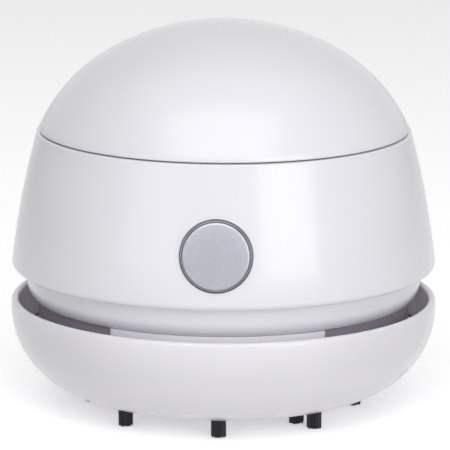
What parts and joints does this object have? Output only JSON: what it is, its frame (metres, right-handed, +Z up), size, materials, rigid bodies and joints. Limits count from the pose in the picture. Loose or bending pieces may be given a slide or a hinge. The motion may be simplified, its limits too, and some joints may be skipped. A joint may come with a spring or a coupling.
{
  "type": "desktop mini vacuum cleaner",
  "caption": "Small dome-shaped desk vacuum cleaner on short bristle tufts, with a lift-off dust bowl, a lift-off battery cover, a push button and a fan.",
  "frame": {"origin": "on the desk, at the middle of the ring of bristle tufts", "axes": "+Z up, the push button faces -Y, +X to the right when looking along +Y"},
  "size_m": [0.086, 0.0864, 0.0789],
  "materials": {
    "white_shell": "glossy moulded ABS, white",
    "white_bowl": "glossy moulded ABS, white",
    "white_neck": "satin moulded ABS, white",
    "grey_plastic": "moulded ABS, grey",
    "tray_plastic": "moulded ABS, off-white",
    "black_plastic": "moulded plastic, black",
    "black_bristle": "nylon bristle, black",
    "seal_rubber": "soft rubber, dark grey",
    "filter_cloth": "fine woven mesh",
    "fan_plastic": "moulded plastic, grey",
    "motor_steel": "zinc-plated steel",
    "shaft_steel": "ground or drawn steel",
    "screw_steel": "zinc-plated steel",
    "sintered_brass": "sintered bronze",
    "ferrite": "ferrite, dark grey",
    "nickel_plate": "nickel-plated steel",
    "cell_sleeve": "plain printed sleeve",
    "button_metal": "fine sandblasted, silver",
    "bezel_dark": "dark chrome look"
  },
  "bodies": {
    "bowl": {"dust_bowl": "white_bowl", "intake_duct": "grey_plastic", "outer_bristles": "black_bristle", "inner_bristles": "black_bristle"},
    "housing": {"main_housing": "white_shell", "vent_ring": "white_neck", "seal_ring": "seal_rubber", "filter_frame": "grey_plastic", "filter_mesh": "filter_cloth", "motor_plate": "grey_plastic", "motor_can": "motor_steel", "motor_cap": "black_plastic", "motor_bushings": "sintered_brass", "motor_magnets": "ferrite", "housing_screws": "screw_steel", "tray_screws": "screw_steel", "motor_screws": "screw_steel", "switch_screws": "screw_steel", "battery_tray": "tray_plastic", "battery_cell_front": "cell_sleeve", "battery_cell_back": "cell_sleeve", "contact_plates": "nickel_plate", "contact_springs": "nickel_plate", "button_spring": "shaft_steel", "button_bezel": "bezel_dark", "switch_bracket": "grey_plastic", "switch_body": "black_plastic"},
    "cover": {"dome_cover": "white_shell"},
    "button": {"button_cap": "button_metal", "switch_plunger": "tray_plastic"},
    "rotor": {"motor_shaft": "shaft_steel", "impeller": "fan_plastic", "motor_armature": "motor_steel"}
  },
  "joints": [
    {"name": "housing_lift", "type": "slide", "parent": "bowl", "child": "housing", "axis": [0, 0, 1], "range_m": [0, 0.04]},
    {"name": "cover_lift", "type": "slide", "parent": "housing", "child": "cover", "axis": [0, 0, 1], "range_m": [0, 0.03]},
    {"name": "button_press", "type": "slide", "parent": "housing", "child": "button", "axis": [0, 0.988, -0.1547], "range_m": [0, 0.002], "stiffness_N_per_m": 500, "springref_m": -0.002, "deforming": ["button_spring"]},
    {"name": "impeller_spin", "type": "hinge", "parent": "housing", "child": "rotor", "pos_m": [0, 0, 0.03], "axis": [0, 0, 1], "continuous": true}
  ]
}
